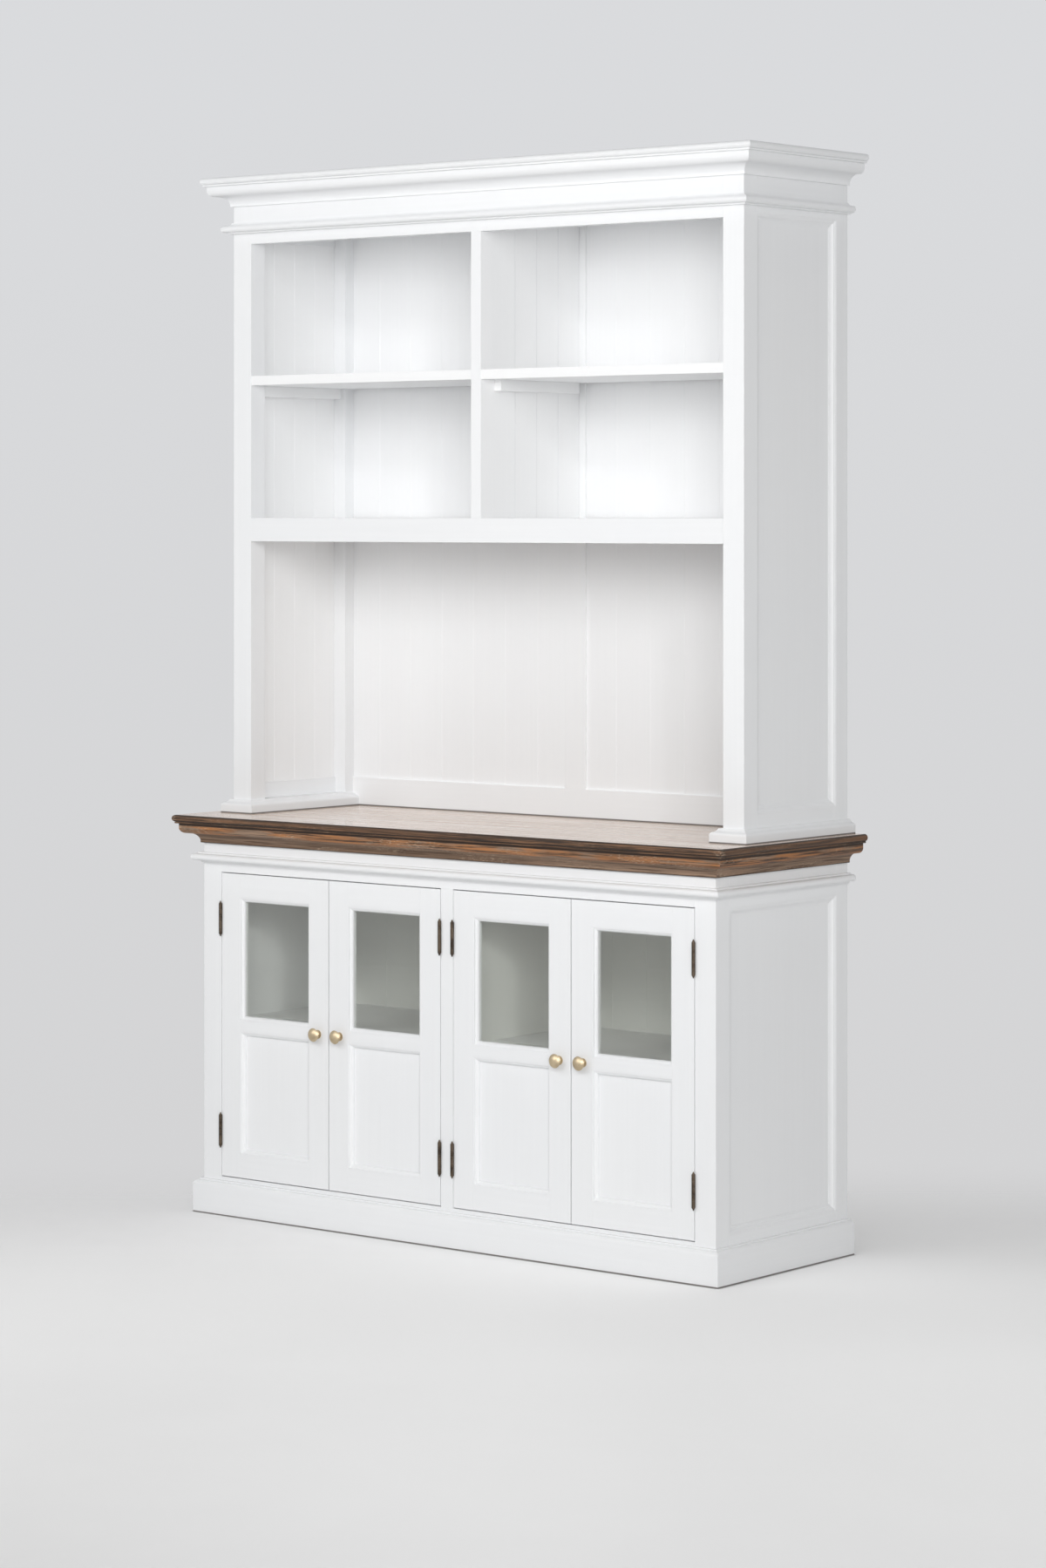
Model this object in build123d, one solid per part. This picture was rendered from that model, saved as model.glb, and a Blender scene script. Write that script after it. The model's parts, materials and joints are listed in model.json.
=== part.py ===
"""Dresser with hutch.

A painted base cabinet with four inset doors, a moulded rustic worktop, and an open hutch with a
crown moulding. Millimetres. X runs along the front, +Y to the back, +Z up. The origin is on the
floor, at the middle of the overall width and depth. Every back is flush.
"""
from build123d import *
import math
import os

# ---- Driving dimensions -----------------------------------------------------------------------

# Overall
overall_height = 2200
carcass_width = 1346
base_depth = 446
hutch_depth = 354
base_height = 784          # floor to the underside of the worktop's bed moulding

# Worktop and crown: a bullnosed slab over a bed moulding
slab_thickness = 18
lipping_width = 40
worktop_overhang = 49
worktop_thickness = 59
worktop_board_count = 6
crown_overhang = 52
crown_thickness = 60.5
lipping_fillet_height = 3.5
lipping_fillet_inset = 4.5 # behind the face of the bullnose
bullnose_step = 11         # the bed moulding stands this far behind the bullnose
bed_fillet = 8
bed_ovolo_height = 13
bed_ovolo_reach = 10.5
bed_foot_reach = 5.5
bed_foot_height = 5
board_arris = 0.6          # small chamfer on the long edges of a loose board

# Frame members
post_width = 50
front_post_depth = 44
base_rear_post_depth = 40
hutch_rear_post_depth = 50
front_rail_thickness = 22
side_rail_thickness = 21
back_frame_thickness = 22

# Base cabinet
plinth_height = 72
plinth_thickness = 17
plinth_round = 10
plinth_fillet = 3
floor_level = 79.5         # top of the bottom rail, and of the floor boards
floor_thickness = 18
bottom_rail_clearance = 20
door_head_drop = 60        # from the bed moulding down to the underside of the front top rail
centre_stile_width = 32
partition_thickness = 18
base_panel_low = 91
base_panel_drop = 63       # from the bed moulding down to the side panel
base_panel_thickness = 6
base_bead_drop = 43.5      # from the bed moulding down to the foot of the bead
base_shelf_rise = 325.5    # from the floor boards to the top of the shelf
base_shelf_setback = 14    # from the back of the doors to the shelf
base_shelf_play = 1        # from the loose shelf to the back boards
base_back_board_count = 14
back_board_thickness = 10
back_board_recess = 2
base_back_rail_height = 40
bearer_width = 40
bearer_height = 25

# Hutch; each drop is measured from the top of the crown, each rise from the worktop
opening_head_drop = 141.7
side_opening_drop = 132
hutch_bead_drop = 118.8
upper_space_height = 281.8
lower_space_height = 283
roof_rise = 30             # from the head of the opening to the underside of the roof board
shelf_thickness = 20
middle_rail_height = 50
deck_thickness = 18
shelf_front_inset = 1
divider_post_width = 26
divider_board_thickness = 20
divider_board_count = 4
cleat_width = 20
cleat_height = 23
side_opening_rise = 55.5
side_opening_rear = 40     # from the back to the outer panel opening
lining_rise = 61
lining_thickness = 6
lining_board_count = 4
outer_panel_thickness = 3.5
panel_recess = 8.5
back_panel_face = 21       # from the back to the face of the back boards
back_frame_face = 26       # from the back to the face of their frame
hutch_back_board_thickness = 12
hutch_back_board_count = 7
board_groove_depth = 10
back_post_groove = 13
muntin_width = 53
back_frame_low_height = 61
foot_height = 28
foot_reach = 19.5
foot_plain = 15

# Small mouldings
bead_height = 23.5
bead_reach = 20.5
bead_nose = 14
bead_fillet_height = 3
bead_fillet_reach = 9
bead_foot_reach = 3
side_moulding_width = 16
side_moulding_fillet = 3.5 # width of the flat next to the panel
side_moulding_step = 1.2   # height of each small step beside that flat
side_moulding_shy = 0.5    # below the face of the frame

# Doors
door_thickness = 20
hinge_gap = 1.5
meeting_gap = 2.5
door_rail_gap = 2
door_stile_width = 52
door_rail_height = 50
lock_rail_height = 23
door_moulding_width = 9
door_moulding_depth = 11
door_moulding_shy = 0.5
door_moulding_fillet = 2.5
door_moulding_edge = 1.5
glass_thickness = 4
glass_edge_thickness = 2.5
glass_bevel = 12
door_panel_thickness = 6
inner_bead_width = 8

# Knobs
knob_inset = 28.5          # from the meeting edge of the door
knob_head_radius = 14
knob_projection = 22
knob_neck_radius = 4.5
knob_rose_radius = 9
knob_rose_height = 2
knob_stud_radius = 2
knob_nut_width = 8
knob_nut_height = 3.5

# Butt hinges
hinge_height = 64
hinge_inset = 96.5         # from each end of the door to the middle of a hinge
knuckle_radius = 3.5
knuckle_count = 5
knuckle_gap = 0.3
pin_radius = 1.55
pin_clearance = 0.05
pin_finial_height = 5.5
pin_finial_radius = 2.8
hinge_face_clearance = 0.3
leaf_thickness = 1.2
leaf_depth = 16
screw_radius = 1.5
screw_head_radius = 2.7
screw_length = 13
screw_spread = 22          # from the middle of a hinge to each of its screws
screw_setback = 9.6        # from the face of the frame to the line of screws

# Catches and joining plates
catch_width = 36
catch_depth = 13
catch_height = 40
catch_drop = 20            # below the underside of the top rail
strike_height = 12
strike_thickness = 1.2
strike_rise = 2            # from the foot of the catch to the foot of the strike
plate_width = 30
plate_height = 130
plate_thickness = 2
plate_screw_spread = 52
plate_screw_length = 22

# ---- Places worked out from them --------------------------------------------------------------

back = (base_depth + worktop_overhang) / 2
base_front = back - base_depth
hutch_front = back - hutch_depth
half_width = carcass_width / 2
post_inner = half_width - post_width
rail_inner = half_width - side_rail_thickness
lining_back = half_width - panel_recess - outer_panel_thickness
lining_face = lining_back - lining_thickness
worktop_top = base_height + worktop_thickness
worktop_under = worktop_top - slab_thickness
crown_low = overall_height - crown_thickness
cap_under = overall_height - slab_thickness
door_head = base_height - door_head_drop
base_panel_high = base_height - base_panel_drop
base_bead_level = base_height - base_bead_drop
base_shelf_level = floor_level + base_shelf_rise
opening_head = overall_height - opening_head_drop
roof_low = opening_head + roof_rise
side_opening_high = overall_height - side_opening_drop
hutch_bead_level = overall_height - hutch_bead_drop
shelf_top = opening_head - upper_space_height
deck_top = shelf_top - shelf_thickness - lower_space_height
middle_rail_low = deck_top - middle_rail_height
side_opening_low = worktop_top + side_opening_rise
lining_low = worktop_top + lining_rise
base_post_rear_face = back - base_rear_post_depth
hutch_post_rear_face = back - hutch_rear_post_depth
base_post_back = base_front + front_post_depth
hutch_post_back = hutch_front + front_post_depth
base_rail_back = base_front + front_rail_thickness
hutch_rail_back = hutch_front + front_rail_thickness
door_back = base_front + door_thickness
centre_half = centre_stile_width / 2
partition_half = partition_thickness / 2
pin_offset = knuckle_radius + hinge_face_clearance
door_low = floor_level + door_rail_gap
door_high = door_head - door_rail_gap
door_width = (post_inner - centre_half - 2 * hinge_gap - meeting_gap) / 2
base_back_face = back - back_board_recess - back_board_thickness
hinge_levels = (door_low + hinge_inset, door_high - hinge_inset)

QUARTER = math.tan(math.pi / 8)     # swell of a quarter circle
HALF = 1                            # swell of a half circle


# ---- Helpers ----------------------------------------------------------------------------------

def board(x_span, y_span, z_span):
    """A square-edged board that fills three spans."""
    middle = [(span[0] + span[1]) / 2 for span in (x_span, y_span, z_span)]
    size = [span[1] - span[0] for span in (x_span, y_span, z_span)]
    return Pos(*middle) * Box(*size)


def both_sides(shapes):
    """The shapes of the right side, and their mirror images on the left."""
    return shapes + [mirror(shape, about=Plane.YZ) for shape in shapes]


def section(start, *legs):
    """A closed section, drawn anticlockwise. A third value makes a leg swell (+) or hollow (-)."""
    edges = []
    here = start
    for leg in legs + (start,):
        end = leg[:2]
        if len(leg) == 3:
            run = (end[0] - here[0], end[1] - here[1])
            through = (
                (here[0] + end[0] + leg[2] * run[1]) / 2,
                (here[1] + end[1] - leg[2] * run[0]) / 2,
            )
            edges.append(ThreePointArc(here, through, end))
        else:
            edges.append(Line(here, end))
        here = end
    return make_face(edges)


def moulding(profile, length, left, right):
    """A moulding along X with its back on y = 0, its profile reaching to -Y and up from z = 0.

    left and right say how each end is cut: 1 an outside mitre, -1 an inside mitre, 0 square.
    """
    bounds = profile.bounding_box()
    reach = bounds.max.X
    whole = length + 2 * reach
    plane = Plane(origin=(whole / 2, 0, 0), x_dir=(0, -1, 0), z_dir=(-1, 0, 0))
    bar = extrude(plane * profile, whole)
    outline = Polyline(
        (-length / 2, 0),
        (-length / 2 - left * reach, -reach),
        (length / 2 + right * reach, -reach),
        (length / 2, 0),
        close=True,
    )
    return bar & extrude(make_face(outline), bounds.max.Y)


def round_three_sides(profile, width, front, level):
    """Mitred lengths along the front and both sides of a box that runs to the back."""
    depth = back - front
    middle = (back + front) / 2
    side = Pos(width / 2, middle, level) * Rot(0, 0, 90) * moulding(profile, depth, 1, 0)
    return [Pos(0, front, level) * moulding(profile, width, 1, 1)] + both_sides([side])


def picture_frame(profile, width, height):
    """Four mitred lengths inside an opening in the XY plane, their faces to +Z."""
    across = moulding(profile, width, -1, -1)
    upright = moulding(profile, height, -1, -1)
    return [
        Pos(0, height / 2) * across,
        Pos(0, -height / 2) * Rot(0, 0, 180) * across,
        Pos(-width / 2, 0) * Rot(0, 0, 90) * upright,
        Pos(width / 2, 0) * Rot(0, 0, -90) * upright,
    ]


def boards_between(x_span, y_span, z_span, count, along, faces):
    """Loose boards side by side, their long edges chamfered on the named faces (-1, 1).

    along is the axis that the boards lie side by side on. The faces look along the other
    horizontal axis, or along Z for boards that lie flat.
    """
    spans = [x_span, y_span, z_span]
    look = 1 if along == 0 else 0
    if z_span[1] - z_span[0] < min(x_span[1] - x_span[0], y_span[1] - y_span[0]):
        look = 2
    pitch = (spans[along][1] - spans[along][0]) / count
    made = []
    axes = (Axis.X, Axis.Y, Axis.Z)
    long_way = axes[3 - along - look]
    for index in range(count):
        low = spans[along][0] + index * pitch
        mine = list(spans)
        mine[along] = (low, low + pitch)
        plank = board(*mine)
        for face in faces:
            layers = plank.edges().filter_by(long_way).group_by(axes[look])
            plank = chamfer(layers[-1] if face > 0 else layers[0], board_arris)
        made.append(plank)
    return made


def write(node, shapes):
    """Write one node, each of its pieces a separate solid."""
    solids = []
    for shape in shapes:
        solids.extend(shape.solids())
    export_step(Compound(children=solids, label=node), os.path.join("parts", node + ".step"))


# ---- Moulding sections: x is outwards from the carcass, y is up --------------------------------

def bullnose_section(width):
    """The lipping of a slab: a half-round front above a small fillet."""
    radius = (slab_thickness - lipping_fillet_height) / 2
    fillet_face = width - lipping_fillet_inset
    return section(
        (0, 0),
        (fillet_face, 0),
        (fillet_face, lipping_fillet_height),
        (width - radius, lipping_fillet_height),
        (width - radius, slab_thickness, HALF),
        (0, slab_thickness),
    )


def bed_section(overhang, height):
    """Under a slab: a fillet, an ovolo, a cavetto and a plain foot."""
    reach = overhang - bullnose_step
    hollow_reach = reach - bed_ovolo_reach
    hollow_top = height - bed_fillet - bed_ovolo_height
    return section(
        (0, 0),
        (bed_foot_reach, 0),
        (bed_foot_reach, bed_foot_height),
        (hollow_reach, hollow_top, -QUARTER),
        (reach, height - bed_fillet, QUARTER),
        (reach, height),
        (0, height),
    )


def bead_section(fillet_on_top):
    """A half-round necking bead with a cove on one side and a small fillet on the other."""
    radius = bead_nose / 2
    centre_reach = bead_reach - radius
    shoulder = bead_height - bead_fillet_height
    face = section(
        (0, 0),
        (bead_foot_reach, 0),
        (centre_reach, shoulder - bead_nose, -QUARTER),
        (centre_reach, shoulder, HALF),
        (bead_fillet_reach, shoulder),
        (bead_fillet_reach, bead_height),
        (0, bead_height),
    )
    if fillet_on_top:
        return face
    return Pos(0, bead_height) * mirror(face, about=Plane.XZ)


def plinth_section():
    """A plinth board with a rounded top edge above a small fillet."""
    return section(
        (0, 0),
        (plinth_thickness, 0),
        (plinth_thickness, plinth_height - plinth_round - plinth_fillet),
        (plinth_thickness - plinth_round, plinth_height - plinth_fillet, QUARTER),
        (plinth_thickness - plinth_round, plinth_height),
        (0, plinth_height),
    )


def foot_section():
    """The hutch's foot moulding: a plain face, a round, and a hollow up to the wall."""
    round_top = foot_plain + (foot_height - foot_plain) / 2
    round_in = foot_reach - (foot_height - foot_plain) / 2
    hollow_in = round_in - (foot_height - foot_plain) / 2
    return section(
        (0, 0),
        (foot_reach, 0),
        (foot_reach, foot_plain),
        (round_in, round_top, QUARTER),
        (hollow_in, foot_height, -QUARTER / 2),
        (0, foot_height),
    )


def side_moulding_section():
    """Planted moulding of a side panel: a lip, an ogee, then a flat with a step on each side."""
    top = panel_recess - side_moulding_shy
    lip = side_moulding_width / 6
    flat = side_moulding_width - side_moulding_fillet
    foot = 2 * side_moulding_step
    middle = ((flat + lip) / 2, (foot + top) / 2)
    return section(
        (0, 0),
        (side_moulding_width, 0),
        (side_moulding_width, side_moulding_step),
        (flat, side_moulding_step),
        (flat, foot),
        (*middle, -QUARTER / 2),
        (lip, top - top / 8, QUARTER / 2),
        (lip, top),
        (0, top),
    )


def door_moulding_section():
    """Planted moulding of a door: a lip at the frame, then an ovolo down to glass or panel."""
    top = door_moulding_depth - door_moulding_shy
    return section(
        (0, 0),
        (door_moulding_width, 0),
        (door_moulding_width, door_moulding_edge),
        (door_moulding_fillet, top - door_moulding_fillet, QUARTER),
        (door_moulding_fillet, top),
        (0, top),
    )


def inner_bead_section(height):
    """The square bead behind a pane or panel, with one edge eased."""
    ease = height / 3
    return section(
        (0, 0),
        (inner_bead_width, 0),
        (inner_bead_width, height - ease),
        (inner_bead_width - ease, height, QUARTER),
        (0, height),
    )


# ---- Hardware ---------------------------------------------------------------------------------

def screw(length, head_height):
    """A countersunk screw down -Z, its head flush with z = 0."""
    head = Pos(0, 0, -head_height / 2) * Cone(screw_radius, screw_head_radius, head_height)
    shank_length = length - head_height
    shank = Pos(0, 0, -head_height - shank_length / 2) * Cylinder(screw_radius, shank_length)
    return head + shank


def hinge_places(door):
    """Where a door's hinges are: x and y of the pin, and 1 for a left-hung door, -1 for right."""
    side = (-1, -1, 1, 1)[door]
    hangs_left = door % 2 == 0
    near_post = door in (0, 3)
    distance = post_inner - hinge_gap / 2 if near_post else centre_half + hinge_gap / 2
    return side * distance, base_front - pin_offset, 1 if hangs_left else -1


def knuckle_spans(own):
    """The heights of every other knuckle, counted from the middle of the hinge."""
    pitch = (hinge_height + knuckle_gap) / knuckle_count
    lows = [-hinge_height / 2 + index * pitch for index in range(knuckle_count)]
    return [(low, low + pitch - knuckle_gap) for low in lows[own::2]]


def hinge_screws(side):
    """The two screws of a leaf, heads flush with the leaf's face; side -1 frame, 1 door."""
    middle = pin_offset + screw_setback
    turn = Rot(0, -90, 0) if side > 0 else Rot(0, 90, 0)
    return [
        Pos(side * hinge_gap / 2, middle, z) * turn * screw(screw_length, leaf_thickness)
        for z in (-screw_spread, screw_spread)
    ]


def leaf_plate(side):
    """The flat of a leaf, let into the wood; also the shape of its mortise."""
    near = side * hinge_gap / 2
    far = side * (hinge_gap / 2 + leaf_thickness)
    x_span = (min(near, far), max(near, far))
    half = hinge_height / 2
    return board(x_span, (pin_offset, pin_offset + leaf_depth), (-half, half))


def hinge_leaf(side):
    """A leaf with its knuckles, about its pin at the origin; side -1 frame, 1 door."""
    leaf = leaf_plate(side)
    near = side * hinge_gap / 2
    far = side * (hinge_gap / 2 + leaf_thickness)
    x_span = (min(near, far), max(near, far))
    bore = pin_radius + pin_clearance
    seat = (knuckle_radius + bore) / 2
    for low, high in knuckle_spans(0 if side < 0 else 1):
        height = high - low
        tube = Cylinder(knuckle_radius, height) - Cylinder(bore, height)
        leaf += board(x_span, (seat, pin_offset), (low, high))
        leaf += Pos(0, 0, (low + high) / 2) * tube
    for item in hinge_screws(side):
        leaf -= item
    return leaf


def hinge_pin():
    """The loose pin, with a small finial at each end."""
    pin = Cylinder(pin_radius, hinge_height)
    collar = pin_finial_height / 4
    for end in (-1, 1):
        base = hinge_height / 2
        pin += Pos(0, 0, end * (base + collar / 2)) * Cylinder(pin_finial_radius, collar)
        tip = Cone(pin_finial_radius * 0.8, pin_finial_radius * 0.3, pin_finial_height - collar)
        place = Pos(0, 0, end * (base + collar + (pin_finial_height - collar) / 2))
        pin += place * (tip if end > 0 else Rot(180, 0, 0) * tip)
    return pin


def placed_hinges(door, make):
    """What make() builds about a pin at the origin, at both hinges of a door."""
    x, y, hand = hinge_places(door)
    shapes = make()
    if hand < 0:
        shapes = [mirror(shape, about=Plane.YZ) for shape in shapes]
    return [Pos(x, y, z) * shape for z in hinge_levels for shape in shapes]


def cut_hinges(wood, doors, side):
    """Wood with the mortises and screw holes of the hinges on it."""
    for door in doors:
        for cutter in placed_hinges(door, lambda: [leaf_plate(side)] + hinge_screws(side)):
            wood -= cutter
    return wood


def knob():
    """A turned mushroom knob on +Z, with its rose on z = 0 and its stud below."""
    neck_top = knob_projection * 0.45
    rim = knob_projection * 0.7
    dome = math.tan(math.atan2(knob_projection - rim, knob_head_radius) / 2)
    stud = door_thickness + knob_nut_height
    half = section(
        (0, -stud),
        (knob_stud_radius, -stud),
        (knob_stud_radius, 0),
        (knob_rose_radius, 0),
        (knob_rose_radius, knob_rose_height),
        (knob_neck_radius, knob_rose_height * 2, -QUARTER / 2),
        (knob_neck_radius, neck_top),
        (knob_head_radius, rim, -QUARTER / 2),
        (0, knob_projection, dome),
    )
    return revolve(Plane.XZ * half, Axis.Z)


def knob_nut():
    """The hexagon nut on the knob's stud."""
    low = -door_thickness - knob_nut_height
    body = extrude(RegularPolygon(knob_nut_width / 2, 6, major_radius=False), knob_nut_height)
    return Pos(0, 0, low) * (body - Cylinder(knob_stud_radius, 3 * knob_nut_height))


# ---- Shared cutters: what the joinery is let round ---------------------------------------------

def base_posts():
    """Front and rear posts of both sides of the base, before any mortise."""
    x_span = (post_inner, half_width)
    z_span = (0, worktop_under)
    front = board(x_span, (base_front, base_post_back), z_span)
    rear = board(x_span, (base_post_rear_face, back), z_span)
    return both_sides([front, rear])


def hutch_posts():
    """Front and rear posts of both sides of the hutch, before any groove."""
    x_span = (post_inner, half_width)
    z_span = (worktop_top, cap_under)
    front = board(x_span, (hutch_front, hutch_post_back), z_span)
    rear = board(x_span, (hutch_post_rear_face, back), z_span)
    return both_sides([front, rear])


def back_boards_span():
    """Where the right half of the hutch's back boards is: let into muntin, post and rails."""
    face = back - back_panel_face
    return (
        (muntin_width / 2 - board_groove_depth, post_inner + back_post_groove),
        (face, face + hutch_back_board_thickness),
        (worktop_top + back_frame_low_height - board_groove_depth, roof_low + board_groove_depth),
    )


def side_recess():
    """The outer panel opening of the hutch's right side, cut into rail and rear post."""
    return board(
        (lining_back, half_width),
        (hutch_post_back, back - side_opening_rear),
        (side_opening_low, side_opening_high),
    )


def without(shape, cutters):
    """The shape less every cutter."""
    for cutter in cutters:
        shape -= cutter
    return shape


def joining_places():
    """The middle of each steel plate that joins hutch and base, on the back of the posts."""
    return [Pos(side * (post_inner + half_width) / 2, back, worktop_under) for side in (-1, 1)]


def plate_cutters():
    """Recesses and screw holes of the joining plates."""
    low = -plate_height / 2
    plate = board((-plate_width / 2, plate_width / 2), (-plate_thickness, 0), (low, -low))
    return [place * shape for place in joining_places() for shape in [plate] + plate_screws()]


def plate_screws():
    """The two screws of a joining plate, heads flush with its back."""
    turn = Rot(-90, 0, 0)
    return [
        Pos(0, 0, z) * turn * screw(plate_screw_length, plate_thickness)
        for z in (-plate_screw_spread, plate_screw_spread)
    ]


# ---- Base cabinet -----------------------------------------------------------------------------

def make_plinth():
    write("plinth", round_three_sides(plinth_section(), carcass_width, base_front, 0))


def make_base_side_frames():
    right_doors = [cut_hinges(post, (0, 3), -1) for post in base_posts()]
    posts = [without(post, plate_cutters()) for post in right_doors]
    x_span = (rail_inner, half_width)
    y_span = (base_post_back, base_post_rear_face)
    top = board(x_span, y_span, (base_panel_high, worktop_under))
    bottom = board(x_span, y_span, (bottom_rail_clearance, base_panel_low))
    write("base_side_frames", posts + both_sides([top, bottom]))


def make_base_side_panels():
    face = half_width - panel_recess
    x_span = (face - base_panel_thickness, face)
    y_span = (base_post_back, base_post_rear_face)
    panel = board(x_span, y_span, (base_panel_low, base_panel_high))
    write("base_side_panels", both_sides([panel]))


def side_mouldings(y_span, z_span):
    """The planted frame of mouldings on both side panels."""
    ring = picture_frame(side_moulding_section(), y_span[1] - y_span[0], z_span[1] - z_span[0])
    middle = ((y_span[0] + y_span[1]) / 2, (z_span[0] + z_span[1]) / 2)
    place = Pos(half_width - panel_recess, *middle) * Rot(0, 0, 90) * Rot(90, 0, 0)
    return both_sides([place * length for length in ring])


def make_base_front_frame():
    x_span = (-post_inner, post_inner)
    y_span = (base_front, base_rail_back)
    bottom = board(x_span, y_span, (bottom_rail_clearance, floor_level))
    top = board(x_span, y_span, (door_head, worktop_under))
    stile = board((-centre_half, centre_half), y_span, (floor_level, door_head))
    write("base_front_frame", [bottom, top, cut_hinges(stile, (1, 2), -1)])


def make_base_inside():
    y_span = (base_rail_back, base_back_face)
    floor_low = floor_level - floor_thickness
    partition_span = (-partition_half, partition_half)
    write("base_partition", [board(partition_span, y_span, (floor_low, worktop_under))])

    floor = board((partition_half, rail_inner), y_span, (floor_low, floor_level))
    write("base_floor", both_sides([without(floor, base_posts())]))

    shelf_low = base_shelf_level - shelf_thickness
    wall = half_width - panel_recess - base_panel_thickness
    shelf = board(
        (partition_half, wall),
        (door_back + base_shelf_setback, base_back_face - base_shelf_play),
        (shelf_low, base_shelf_level),
    )
    shelf = without(shelf, base_posts())
    write("base_shelves", both_sides([shelf]))

    cleat_z = (shelf_low - cleat_height, shelf_low)
    cleat_y = (base_post_back, base_post_rear_face)
    outer = board((wall - cleat_width, wall), cleat_y, cleat_z)
    inner = board((partition_half, partition_half + cleat_width), cleat_y, cleat_z)
    write("base_shelf_cleats", both_sides([outer, inner]))


def make_base_back():
    boards = boards_between(
        (-post_inner, post_inner),
        (base_back_face, back - back_board_recess),
        (bottom_rail_clearance, worktop_under),
        base_back_board_count,
        0,
        (-1,),
    )
    write("base_back_boards", boards)

    y_span = (base_back_face - back_frame_thickness, base_back_face)
    x_span = (partition_half, post_inner)
    top = board(x_span, y_span, (worktop_under - base_back_rail_height, worktop_under))
    bottom = board(x_span, y_span, (floor_level, floor_level + base_back_rail_height))
    write("base_back_rails", both_sides([top, bottom]))

    middle = (partition_half + post_inner) / 2
    bearer = board(
        (middle - bearer_width / 2, middle + bearer_width / 2),
        (base_rail_back, y_span[0]),
        (worktop_under - bearer_height, worktop_under),
    )
    write("worktop_bearers", both_sides([bearer]))


# ---- Slabs with moulded edges -----------------------------------------------------------------

def lipping(overhang, front, level):
    """The bullnosed lipping round a slab that overhangs the carcass."""
    set_in = lipping_width - overhang
    width = carcass_width - 2 * set_in
    return round_three_sides(bullnose_section(lipping_width), width, front + set_in, level)


def slab_field(overhang, front, level):
    """The spans inside a lipping."""
    set_in = lipping_width - overhang
    half = half_width - set_in
    return (-half, half), (front + set_in, back), (level, level + slab_thickness)


def bed_moulding(overhang, front, thickness, top):
    """The bed moulding under a slab."""
    height = thickness - slab_thickness
    return round_three_sides(bed_section(overhang, height), carcass_width, front, top - thickness)


def make_worktop():
    x_span, y_span, z_span = slab_field(worktop_overhang, base_front, worktop_under)
    boards = boards_between(x_span, y_span, z_span, worktop_board_count, 1, (1,))
    write("worktop_boards", [without(plank, plate_cutters()) for plank in boards])
    write("worktop_lipping", lipping(worktop_overhang, base_front, worktop_under))
    bed = bed_moulding(worktop_overhang, base_front, worktop_thickness, worktop_top)
    write("worktop_bed_moulding", bed)


def make_crown():
    field = board(*slab_field(crown_overhang, hutch_front, cap_under))
    write("crown_cap", [field] + lipping(crown_overhang, hutch_front, cap_under))
    bed = bed_moulding(crown_overhang, hutch_front, crown_thickness, overall_height)
    write("crown_moulding", bed)


# ---- Hutch ------------------------------------------------------------------------------------

def make_hutch_side_frames():
    x_low, y_low, z_low = back_boards_span()
    groove = board(x_low, y_low, z_low)
    cutters = both_sides([groove, side_recess()]) + plate_cutters()
    posts = [without(post, cutters) for post in hutch_posts()]
    x_span = (rail_inner, half_width)
    y_span = (hutch_post_back, hutch_post_rear_face)
    top = board(x_span, y_span, (side_opening_high, cap_under))
    bottom = board(x_span, y_span, (worktop_top, lining_low)) - side_recess()
    sill = board((post_inner, rail_inner), y_span, (worktop_top, worktop_top + foot_height))
    write("hutch_side_frames", posts + both_sides([top, bottom, sill]))


def make_hutch_side_panels():
    y_span = (hutch_post_back, back - side_opening_rear)
    z_span = (side_opening_low, side_opening_high)
    panel = board((lining_back, lining_back + outer_panel_thickness), y_span, z_span)
    write("hutch_side_panels", both_sides([panel]))
    write("hutch_side_mouldings", side_mouldings(y_span, z_span))

    linings = boards_between(
        (lining_face, lining_back),
        (hutch_post_back, hutch_post_rear_face),
        (lining_low, side_opening_high),
        lining_board_count,
        1,
        (-1,),
    )
    write("hutch_side_linings", both_sides(linings))


def make_hutch_front_rails():
    x_span = (-post_inner, post_inner)
    y_span = (hutch_front, hutch_rail_back)
    top = board(x_span, y_span, (opening_head, cap_under))
    middle = board(x_span, y_span, (middle_rail_low, deck_top))
    write("hutch_front_rails", [top, middle])


def make_hutch_decks():
    y_span = (hutch_rail_back, back - back_frame_face)
    deck = board((-lining_face, lining_face), y_span, (deck_top - deck_thickness, deck_top))
    write("hutch_deck", [without(deck, hutch_posts())])
    roof = board((-rail_inner, rail_inner), y_span, (roof_low, roof_low + deck_thickness))
    write("hutch_roof", [without(roof, hutch_posts())])


def make_hutch_divider():
    z_span = (deck_top, roof_low)
    half_post = divider_post_width / 2
    half_board = divider_board_thickness / 2
    post = board((-half_post, half_post), (hutch_front, hutch_post_back), z_span)
    post -= board((-half_post, half_post), (hutch_front, hutch_rail_back), (opening_head, roof_low))
    boards = boards_between(
        (-half_board, half_board),
        (hutch_post_back, back - back_frame_face),
        z_span,
        divider_board_count,
        1,
        (-1, 1),
    )
    write("hutch_divider", [post] + boards)

    shelf_low = shelf_top - shelf_thickness
    shelf = board(
        (half_board, lining_face),
        (hutch_front + shelf_front_inset, back - back_frame_face),
        (shelf_low, shelf_top),
    )
    shelf = without(shelf, hutch_posts() + [post])
    write("hutch_shelves", both_sides([shelf]))

    y_span = (hutch_post_back, hutch_post_rear_face)
    z_span = (shelf_low - cleat_height, shelf_low)
    deck_low = deck_top - deck_thickness
    wall = (lining_face - cleat_width, lining_face)
    cleats = [
        board(wall, y_span, z_span),
        board((half_board, half_board + cleat_width), y_span, z_span),
        board(wall, y_span, (deck_low - cleat_height, deck_low)),
    ]
    write("hutch_shelf_cleats", both_sides(cleats))


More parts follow.
